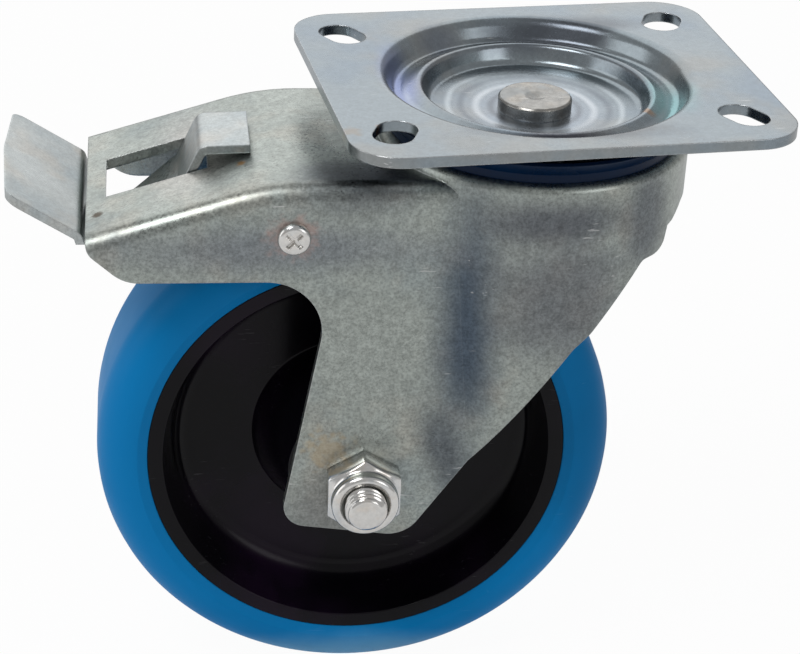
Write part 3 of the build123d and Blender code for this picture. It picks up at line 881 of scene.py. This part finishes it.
# ---------------------------------------------------------------- the castor's finishes, named
class Finishes:
    """Every material of the castor."""

    def __init__(self, groups: SharedGroups) -> None:
        """Builds all of them.

        Args:
            groups: the shared shader groups.
        """
        self.plate = ZincFinish(
            "plate_zinc", (0.265, 0.305, 0.33), (0.225, 0.28, 0.345), (0.30, 0.30, 0.285), 0.6, 26.0,
            roughness=0.25, roughness_swing=0.1, speckle=0.1, mottle=0.05, peel=0.03, edge_brightness=0.5,
            # rings of painted shade (dark) and painted highlight (light) on the steps of the pressed dish
            painted_light_rings=(
                PaintedLightAndShadeRing(11.5, 1.6, (0.12, 0.13, 0.15), 0.55), PaintedLightAndShadeRing(15.0, 1.5, (0.62, 0.66, 0.70), 0.6),
                PaintedLightAndShadeRing(18.6, 1.5, (0.13, 0.15, 0.18), 0.55), PaintedLightAndShadeRing(21.6, 1.2, (0.60, 0.66, 0.70), 0.5),
                PaintedLightAndShadeRing(27.5, 1.4, (0.12, 0.13, 0.16), 0.5), PaintedLightAndShadeRing(31.5, 1.3, (0.58, 0.63, 0.68), 0.35),
            ),
            tone_and_light_zones=(
                ToneAndLightZone((-32.0, 3.0, -3.0), (7.0, 22.0, 7.0), (0.24, 0.29, 0.52), 0.85),
                ToneAndLightZone((30.0, -9.0, -3.0), (8.0, 20.0, 7.0), (0.20, 0.42, 0.44), 0.85),
                # painted shade on the front and back walls of the dish
                ToneAndLightZone((4.0, -32.0, -4.0), (36.0, 9.0, 7.0), (0.05, 0.05, 0.065), 0.9, core=0.35),
                ToneAndLightZone((12.0, 32.0, -3.0), (28.0, 8.0, 7.0), (0.09, 0.10, 0.12), 0.85, core=0.35),
                ToneAndLightZone((-20.0, 28.0, -3.0), (9.0, 8.0, 6.0), (0.16, 0.19, 0.24), 0.6),
                # painted light on the middle of the dish
                ToneAndLightZone((0.0, 0.0, -9.0), (24.0, 24.0, 4.0), (0.40, 0.44, 0.50), 0.6),
            ),
            stains=(
                Stain((-42.6, -26.0, -2.0), 2.2, (0.45, 0.16, 0.02), 0.9, on_fork=False),
                Stain((22.0, -17.0, -4.0), 2.0, (0.42, 0.20, 0.06), 0.5, on_fork=False),
                Stain((-49.5, -28.0, -1.0), 3.0, (0.30, 0.22, 0.14), 0.4, on_fork=False),
            ),
        ).build(groups)
        self.fork = ZincFinish(
            "fork_zinc", (0.345, 0.375, 0.352), (0.29, 0.335, 0.345), (0.39, 0.375, 0.33), 0.6, 34.0,
            roughness=0.36, roughness_swing=0.14, speckle=0.42, mottle=0.13, peel=0.07,
            tone_and_light_zones=(
                # painted shade down the crease where the head's round front meets the flat leg
                ToneAndLightZone((-17.5, -31.0, -50.0), (11.5, 11.0, 56.0), (0.07, 0.095, 0.13), 0.95, core=0.1),
                # painted shade on the head's round front
                ToneAndLightZone((2.0, -33.0, -40.0), (22.0, 12.0, 26.0), (0.165, 0.175, 0.185), 0.85, core=0.3),
                # painted shade where that crease bends back low on the leg
                ToneAndLightZone((-21.0, -30.0, -84.0), (8.0, 8.0, 24.0), (0.11, 0.125, 0.14), 0.85, 20.0, 0.1),
                # painted shade along the arm's side below its fold
                ToneAndLightZone((-62.0, -31.0, -30.0), (60.0, 5.0, 9.0), (0.20, 0.22, 0.24), 0.8),
                # painted shade on the lower leg round the nut
                ToneAndLightZone((-48.0, -31.0, -100.0), (16.0, 5.0, 16.0), (0.235, 0.235, 0.225), 0.8),
                # painted shade on the head's far side
                ToneAndLightZone((22.0, -28.0, -24.0), (9.0, 16.0, 22.0), (0.14, 0.155, 0.17), 0.85),
                # painted shade along the soft crease round the head below its rim
                ToneAndLightZone((0.0, -36.0, -21.0), (28.0, 10.0, 8.0), (0.12, 0.13, 0.145), 0.9),
                # painted light on the arm's up-facing web
                ToneAndLightZone((-85.0, 0.0, -18.0), (28.0, 34.0, 8.5), (0.50, 0.485, 0.46), 0.8, -17.0),
                # painted shade in the fold at the arm's neck
                ToneAndLightZone((-43.0, -24.0, -17.0), (22.0, 12.0, 10.0), (0.10, 0.11, 0.125), 0.9),
            ),
            stains=(
                Stain((-101.0, -18.5, -26.9), 1.5, (0.06, 0.04, 0.02), 0.9),
                Stain((-68.7, -12.9, -16.8), 1.4, (0.45, 0.22, 0.05), 0.8),
                Stain((-48.5, -30.0, -82.5), 6.0, (0.52, 0.40, 0.24), 0.45, 0.6),
                Stain((-57.5, -30.0, -27.1), 6.2, (0.50, 0.34, 0.30), 0.5, 0.5),
                Stain((-16.0, -34.0, -60.0), 1.1, (0.62, 0.58, 0.50), 0.6),
            ),
        ).build(groups)
        self.brake = ZincFinish(
            "brake_zinc", (0.45, 0.48, 0.48), (0.38, 0.44, 0.47), (0.50, 0.48, 0.44), 0.6, 40.0,
            roughness=0.34, roughness_swing=0.1, speckle=0.26, mottle=0.07, peel=0.05, edge_brightness=0.12,
            # painted shade in the treadle's bend
            tone_and_light_zones=(ToneAndLightZone((-105.0, 0.0, -31.0), (3.4, 26.0, 4.0), (0.14, 0.19, 0.18), 0.9),),
        ).build(groups)
        self.bolt = ZincFinish(
            "bolt_zinc", (0.72, 0.71, 0.69), (0.56, 0.60, 0.64), (0.76, 0.68, 0.60), 0.5, 120.0,
            roughness=0.14, roughness_swing=0.06, speckle=0.06, mottle=0.05, peel=0.02,
        ).build(groups)
        self.pin = ZincFinish(
            "pin_zinc", (0.30, 0.295, 0.28), (0.24, 0.26, 0.27), (0.36, 0.33, 0.29), 0.6, 120.0,
            roughness=0.26, roughness_swing=0.1, speckle=0.1, peel=0.03,
        ).build(groups)
        self.steel = ZincFinish(
            "bearing_steel", (0.6, 0.6, 0.62), (0.55, 0.56, 0.6), (0.62, 0.6, 0.58), 0.3, 60.0,
            roughness=0.28, roughness_swing=0.08, speckle=0.1, peel=0.02,
        ).build(groups)
        self.rim = MouldedFinish(
            "rim_black", (0.0022, 0.0018, 0.0034), (0.012, 0.005, 0.016), 0.7, roughness=0.2,
            roughness_swing=0.1, texture=0.03, dust=(0.25, 0.25, 0.26), dust_share=0.14, specular=0.16,
        ).build(groups)
        self.tyre = MouldedFinish(
            "tyre_blue", (0.0, 0.225, 0.57), (0.0, 0.195, 0.50), 0.5, roughness=0.45,
            roughness_swing=0.1, texture=0.04, dust=(0.2, 0.45, 0.65), dust_share=0.1, specular=0.12,
            tone_and_light_zones=(
                # paler at the bottom: painted light from the floor, with some dust
                ToneAndLightZone((-40.0, -12.0, -152.0), (60.0, 22.0, 10.0), (0.16, 0.42, 0.68), 0.9),
                # painted shade on the tyre's right side beside the fork
                ToneAndLightZone((18.0, -16.0, -96.0), (14.0, 14.0, 44.0), (0.0, 0.15, 0.38), 0.7),
            ),
        ).build(groups)
        self.seal = MouldedFinish(
            "seal_blue", (0.0, 0.012, 0.045), (0.0, 0.03, 0.09), 0.3, roughness=0.3, specular=0.16
        ).build(groups)
        self.guard = MouldedFinish(
            "guard_black", (0.006, 0.006, 0.007), (0.015, 0.015, 0.015), 0.3, roughness=0.4, specular=0.35
        ).build(groups)
        self.nylon = MouldedFinish(
            "lock_nylon", (0.30, 0.31, 0.28), (0.36, 0.36, 0.33), 0.3, roughness=0.4
        ).build(groups)


class Hardware:
    """The CAD nodes that keep their own solids, dressed with their finishes."""

    def __init__(self, frame: dict, finishes: Finishes) -> None:
        """Keeps the CAD nodes and the finishes.

        Args:
            frame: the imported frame.
            finishes: the castor's materials.
        """
        self.nodes = frame["nodes"]
        self.finishes = finishes

    def dress(self) -> None:
        """Gives each CAD node its material."""
        f = self.finishes
        worn_by = {
            f.plate: "top_plate", f.fork: "fork", f.pin: "kingpin", f.seal: "dust_seal", f.rim: "wheel_rim",
            f.tyre: "tyre", f.nylon: "nut_lock_ring", f.guard: "thread_guards roller_cage",
            f.brake: "brake_pedal brake_lever brake_shoe",
            f.bolt: "axle_bolt axle_nut pivot_screw pivot_nut",
            f.steel: "kingpin_bush lower_race_cup upper_balls lower_balls"
                     " axle_tube bearing_rollers bearing_sleeve",
        }
        chosen = {name: finish for finish, names in worn_by.items() for name in names.split()}
        for name, made in self.nodes.items():
            made.data.materials.clear()
            made.data.materials.append(chosen[name])
            LOG.info("dressed %s", name)


# ---------------------------------------------------------------- wheel
def mirrored_outline(half: list[tuple[float, float, float]]) -> np.ndarray:
    """Closed outline of a section that is the same on both sides of the wheel's middle.

    Args:
        half: corners (along, out, radius) in millimetres, from the middle round the positive side and back.

    Returns:
        The rounded outline in metres.
    """
    other = [(-along, out, radius) for along, out, radius in reversed(half) if along > 0]
    corners = [(along * MM, out * MM, radius * MM) for along, out, radius in [*half, *other]]
    return rounded_profile(corners)


@dataclass(frozen=True)
class Wheel:
    """Rim and tyre as turned sections with softened edges, sizes in millimetres."""

    radius: float = 62.5
    tyre_half_width: float = 17.6
    shoulder_radius: float = 8.8
    seat_radius: float = 50.5
    key_depth: float = 2.4
    key_half_width: float = 6.0
    rim_half_width: float = 16.5
    lip_radius: float = 46.8
    bowl_radius: float = 43.2
    bowl_round: float = 5.0
    web_half_thickness: float = 2.8
    hub_foot_radius: float = 23.8
    hub_foot_half_width: float = 4.6
    hub_radius: float = 17.0
    hub_half_length: float = 23.0
    bore_radius: float = 14.0
    soft_edge: float = 0.45
    segments: int = 224

    def build(self, finishes: Finishes) -> None:
        """Makes the rim and the tyre in place of their plain solids.

        Args:
            finishes: the castor's materials.
        """
        rim, tyre = self.rim_outline(), self.tyre_outline()
        turned = (("wheel_rim", rim, finishes.rim), ("tyre", tyre, finishes.tyre))
        for name, outline, finish in turned:
            made = spin_about_axle(f"{name}_turned", outline, self.segments)
            made.data.materials.append(finish)
            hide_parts(name)
            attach(made, "wheel")
            LOG.info("built %s", made.name)

    def rim_outline(self) -> np.ndarray:
        """Section of the rim: bore, hub, thin web, bowl, lip and the groove of the tyre's key.

        Returns:
            The closed outline in metres.
        """
        return mirrored_outline([
            (0.0, self.bore_radius, 0.0),
            (self.hub_half_length, self.bore_radius, 0.3),
            (self.hub_half_length, self.hub_radius, 1.0),
            (self.hub_foot_half_width, self.hub_foot_radius, 1.0),
            (self.web_half_thickness, self.hub_foot_radius + 1.0, 0.5),
            (self.web_half_thickness, self.bowl_radius, self.bowl_round),
            (self.rim_half_width, self.lip_radius, self.soft_edge),
            (self.rim_half_width, self.seat_radius, 0.3),
            (self.key_half_width, self.seat_radius, 0.0),
            (self.key_half_width, self.seat_radius - self.key_depth, 0.0),
            (0.0, self.seat_radius - self.key_depth, 0.0),
        ])

    def tyre_outline(self) -> np.ndarray:
        """Section of the tyre: keyed seat, upright sides and wide round shoulders.

        Returns:
            The closed outline in metres.
        """
        return mirrored_outline([
            (0.0, self.seat_radius - self.key_depth, 0.0),
            (self.key_half_width, self.seat_radius - self.key_depth, 0.0),
            (self.key_half_width, self.seat_radius, 0.0),
            (self.rim_half_width, self.seat_radius, 0.3),
            (self.tyre_half_width, self.seat_radius + self.key_depth, 0.8),
            (self.tyre_half_width, self.radius, self.shoulder_radius),
            (0.0, self.radius, 0.0),
        ])


# ---------------------------------------------------------------- axle bolt and nut
def hexagon_radius(angle: np.ndarray, wrench: float, corner_deg: float) -> np.ndarray:
    """Distance from a hexagon's middle to its edge: half its wrench size over the cosine of the angle that is
    left after the nearest flat's direction is taken away.

    Args:
        angle: angles in radians.
        wrench: distance across the flats.
        corner_deg: direction of one corner.

    Returns:
        The distances.
    """
    sixth = math.pi / 3
    left = (angle - math.radians(corner_deg)) % sixth - sixth / 2
    return wrench / 2 / np.cos(left)


def ring_surface(name: str, along: np.ndarray, radius: np.ndarray, closed: bool) -> bpy.types.Object:
    """Surface of rings about the axle, whose radius may change round each ring.

    A grid point at ring i and angle t stands at along[i, t] on the axle and radius[i, t] out of it. Rings of
    radius zero are merged to one point.

    Args:
        name: the piece's name.
        along: rows by columns array of places on the axle, in millimetres.
        radius: rows by columns array of radii, in millimetres.
        closed: whether the last ring meets the first.

    Returns:
        The finished piece.
    """
    columns = radius.shape[1]
    angle = np.linspace(0, 2 * math.pi, columns, endpoint=False)[None, :]
    local = np.stack([radius * np.cos(angle), along, radius * np.sin(angle)], -1) * MM
    verts = FORK.place(local + FORK.axle()).reshape(-1, 3)
    made = mesh_object(name, verts, grid_faces(radius.shape[0], columns, closed, True))
    face_outwards(made)
    return made


@dataclass(frozen=True)
class AxleSet:
    """The axle bolt with its thread and the collared lock nut, sizes in millimetres."""

    bolt_radius: float = 5.0
    end_reach: float = 43.0
    end_face_radius: float = 3.7
    end_slope: float = 1.1
    pitch: float = 1.5
    thread_depth: float = 0.8
    thread_length: float = 14.0
    leg: float = 30.0
    wrench: float = 17.0
    head_height: float = 6.4
    nut_height: float = 6.2
    corner_radius: float = 8.2
    corner_slope: float = 0.55
    collar_radius: float = 7.95
    collar_height: float = 3.3
    collar_round: float = 1.3
    opening_radius: float = 5.65
    hole_radius: float = 5.05
    lip_thickness: float = 0.6
    groove_depth: float = 0.8
    ring_length: float = 2.1
    end_flat: float = 0.9
    seat_break: float = 0.2
    face_break: float = 0.15
    thread_shape: float = 0.8
    pitch_steps: int = 14
    columns: int = 120

    def build(self, finishes: Finishes) -> None:
        """Makes the bolt and the nut in place of their plain solids.

        Args:
            finishes: the castor's materials.
        """
        for name, made in (("axle_bolt", self.bolt()), ("axle_nut", self.nut())):
            made.data.materials.append(finishes.bolt)
            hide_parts(name)
            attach(made, "fork")
            LOG.info("built %s", made.name)

    def angles(self) -> np.ndarray:
        """Directions round the axle.

        Returns:
            Angles in radians, one a column.
        """
        return np.linspace(0, 2 * math.pi, self.columns, endpoint=False)

    def face_ring(self, radius: np.ndarray, face: float) -> np.ndarray:
        """Place on the axle of points on a chamfered hexagon's face.

        It is the face, drawn back towards the leg by the slope times what lies outside the corner radius.

        Args:
            radius: the points' distances from the axle, in millimetres.
            face: the face's place on the axle, in millimetres.

        Returns:
            The places, in millimetres.
        """
        outside = np.maximum(radius - self.corner_radius, 0)
        return face - math.copysign(1.0, face) * outside * self.corner_slope

    def chamfered_face(self, edge: np.ndarray, face: float) -> list[tuple[np.ndarray, np.ndarray]]:
        """The two rings that end a hexagon's sides.

        Args:
            edge: the hexagon's radii, in millimetres.
            face: the face's place on the axle, in millimetres.

        Returns:
            (along, radius) of each ring.
        """
        inner = edge - self.face_break
        return [(self.face_ring(edge, face), edge), (self.face_ring(inner, face), inner)]

    def rows(self, painted_light_rings: list[tuple[object, object]]) -> tuple[np.ndarray, np.ndarray]:
        """Rings as whole arrays.

        Args:
            painted_light_rings: (along, radius) of each ring, as a number or as one value a column.

        Returns:
            The places on the axle and the radii, one row a ring.
        """
        full = [[np.broadcast_to(value, self.columns) for value in ring] for ring in painted_light_rings]
        along, radius = np.array(full, float).transpose(1, 0, 2)
        return along, radius

    def bolt(self) -> bpy.types.Object:
        """The bolt: a threaded end, a shank and a chamfered hexagon head.

        Along the thread the radius is the shank's, less the thread's depth times a raised cosine of the
        distance along the axle that moves on by one pitch a turn, and never more than the end's cone.

        Returns:
            The finished piece.
        """
        turned = self.angles()[None, :]
        end, last = -self.end_reach, -self.end_reach + self.thread_length
        run = np.arange(end, last, self.pitch / self.pitch_steps)[:, None]
        phase = (run / self.pitch - turned / (2 * math.pi)) * 2 * math.pi
        fade = np.clip((last - run) / self.pitch, 0, 1)
        wave = (0.5 - 0.5 * np.cos(phase)) ** self.thread_shape
        thread = self.bolt_radius - self.thread_depth * fade * wave
        cone = self.end_face_radius + (run + self.end_reach) * self.end_slope
        threaded = np.minimum(thread, cone)
        face = self.leg + self.head_height
        edge = hexagon_radius(self.angles(), self.wrench, 0.0)
        painted_light_rings = [
            (end, 0), (end, self.end_face_radius * self.end_flat), *zip(run, threaded),
            (self.leg, self.bolt_radius),
            (self.leg, edge - self.seat_break), (self.leg + self.seat_break, edge),
            *self.chamfered_face(edge, face), (face, self.corner_radius), (face, 0),
        ]
        along, radius = self.rows(painted_light_rings)
        return ring_surface("axle_bolt_threaded", along, radius, False)

    def nut(self) -> bpy.types.Object:
        """The nut: a chamfered hexagon on the leg, then a round collar whose lip turns in over its ring.

        Returns:
            The finished piece.
        """
        face = -self.leg - self.nut_height
        edge = hexagon_radius(self.angles(), self.wrench, 90.0)
        end = face - self.collar_height
        middle = self.collar_radius - self.collar_round
        arc = [
            (end + self.collar_round * (1 - math.sin(b)), middle + self.collar_round * math.cos(b))
            for b in np.linspace(0, math.pi / 2, 9)
        ]
        lip, groove = end + self.lip_thickness, self.opening_radius + self.groove_depth
        painted_light_rings = [
            (-self.leg, self.hole_radius),
            (-self.leg, edge - self.seat_break), (-self.leg - self.seat_break, edge),
            *self.chamfered_face(edge, face),
            (face, self.corner_radius + 0.05), (face - self.face_break, self.collar_radius), *arc,
            (end, self.opening_radius + self.seat_break), (end + self.seat_break, self.opening_radius),
            (lip, self.opening_radius), (lip, groove),
            (face - self.ring_length, groove), (face, self.hole_radius),
        ]
        along, radius = self.rows(painted_light_rings)
        return ring_surface("axle_nut_collared", along, radius, True)


# ---------------------------------------------------------------- studio
@dataclass(frozen=True)
class Studio:
    """Pale floor, soft lamps and the camera."""

    camera_place: tuple[float, float, float] = (-0.14632, -0.47048, 0.19684)
    camera_target: tuple[float, float, float] = (-0.02878, 0.00333, -0.06626)
    camera_roll_deg: float = 2.805
    lens: float = 102.56
    floor_height: float = -0.1552
    floor_size: float = 6.0
    backdrop: float = 1.0
    floor_share: float = 0.96
    floor_grey: float = 0.9
    mirrored_share: float = 0.35
    lamp_target: tuple[float, float, float] = (-0.03, 0.0, -0.07)
    world_light: float = 0.3

    def build(self) -> None:
        """Makes the floor, the lamps, the world and the camera."""
        self.add_camera()
        self.add_floor()
        self.add_world()
        self.add_lamp("key", (-0.75, -0.55, 1.35), 0.7, 9.0)
        self.add_lamp("side", (-1.6, 0.1, 0.35), 1.0, 3.4)
        self.add_lamp("front", (0.9, -1.5, 0.55), 0.8, 3.2)
        self.add_lamp("sky", (0.1, 1.7, 1.2), 2.2, 14.0)
        bpy.context.scene.view_settings.view_transform = "Standard"

    def add_camera(self) -> None:
        """Sets the camera at its place, looking at its target, with its roll about the line of sight."""
        place, target = Vector(self.camera_place), Vector(self.camera_target)
        ahead = (target - place).normalized()
        right = ahead.cross(Vector((0, 0, 1))).normalized()
        up = right.cross(ahead)
        c, s = math.cos(math.radians(self.camera_roll_deg)), math.sin(math.radians(self.camera_roll_deg))
        across, above = right * c + up * s, up * c - right * s
        data = bpy.data.cameras.new("camera")
        data.lens, data.sensor_width = self.lens, 36.0
        data.clip_start, data.clip_end = 0.01, 50.0
        made = bpy.data.objects.new("camera", data)
        made.matrix_world = Matrix((across, above, -ahead)).transposed().to_4x4()
        made.location = place
        bpy.context.scene.collection.objects.link(made)
        bpy.context.scene.camera = made

    def add_floor(self) -> None:
        """Lays a pale floor under the wheel."""
        half = self.floor_size / 2
        z = self.floor_height
        verts = np.array([[-half, -half, z], [half, -half, z], [half, half, z], [-half, half, z]])
        floor = mesh_object("floor", verts, np.array([[0, 1, 2, 3]]), smooth=False)
        maker = MaterialMaker("floor_pale")
        shader = maker.shader
        shader.inputs["Base Color"].default_value = (self.floor_grey, self.floor_grey, self.floor_grey, 1)
        shader.inputs["Roughness"].default_value = 0.9
        self.show_backdrop(maker, shader.outputs["BSDF"])
        floor.data.materials.append(maker.material)

    def show_backdrop(self, maker: NodeMaker, lit: Outlet) -> None:
        """Shows plain white with a faint part of the lit floor, and mirrors a share of that white.

        Args:
            maker: the floor material's nodes.
            lit: the floor's own shader.
        """
        white, seen = maker.node("ShaderNodeEmission"), maker.node("ShaderNodeMixShader")
        white.inputs["Strength"].default_value = self.backdrop
        maker.link(self.share_of_white(maker, self.floor_share), seen.inputs[0])
        maker.link(lit, seen.inputs[1])
        maker.link(white.outputs[0], seen.inputs[2])
        maker.link(seen.outputs[0], maker.tree.nodes["Material Output"].inputs["Surface"])

    def share_of_white(self, maker: NodeMaker, to_camera: float) -> Outlet:
        """How much of the white backdrop a ray meets: most for the camera, a part for gloss and glass.

        Args:
            maker: the nodes it goes into.
            to_camera: the camera's share.

        Returns:
            The share.
        """
        path = maker.node("ShaderNodeLightPath")
        through = maker.maths("MAXIMUM", path.outputs["Is Glossy Ray"], path.outputs["Is Transmission Ray"])
        by_camera = maker.times(path.outputs["Is Camera Ray"], to_camera)
        return maker.maths("MAXIMUM", by_camera, maker.times(through, self.mirrored_share))

    def add_world(self) -> None:
        """Lights from all round at a plain level, and shows white behind the object."""
        world = bpy.data.worlds.new("studio")
        bpy.context.scene.world = world
        world.use_nodes = True
        maker = NodeMaker(world.node_tree)
        maker.tree.nodes.clear()
        light, white = maker.node("ShaderNodeBackground"), maker.node("ShaderNodeBackground")
        light.inputs["Strength"].default_value = self.world_light
        white.inputs["Strength"].default_value = 1.0
        part, out = maker.node("ShaderNodeMixShader"), maker.node("ShaderNodeOutputWorld")
        maker.link(self.share_of_white(maker, 1.0), part.inputs[0])
        maker.link(light.outputs[0], part.inputs[1])
        maker.link(white.outputs[0], part.inputs[2])
        maker.link(part.outputs[0], out.inputs["Surface"])

    def add_lamp(self, name: str, place: tuple[float, float, float], size: float, power: float) -> None:
        """Hangs a square soft lamp that faces the object.

        Args:
            name: the lamp's name.
            place: where it hangs, in metres.
            size: its side, in metres.
            power: its power, in watts.
        """
        data = bpy.data.lights.new(name, "AREA")
        data.shape, data.size, data.energy = "SQUARE", size, power
        made = bpy.data.objects.new(name, data)
        made.location = place
        made.rotation_mode = "QUATERNION"
        made.rotation_quaternion = (Vector(self.lamp_target) - Vector(place)).to_track_quat("-Z", "Y")
        bpy.context.scene.collection.objects.link(made)


def main() -> None:
    """Builds the castor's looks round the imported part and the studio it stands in."""
    logging.basicConfig(level=logging.INFO, format="%(name)s: %(message)s")
    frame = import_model()
    groups = SharedGroups()
    finishes = Finishes(groups)
    Hardware(frame, finishes).dress()
    Wheel().build(finishes)
    AxleSet().build(finishes)
    Studio().build()


if __name__ == "__main__":
    main()
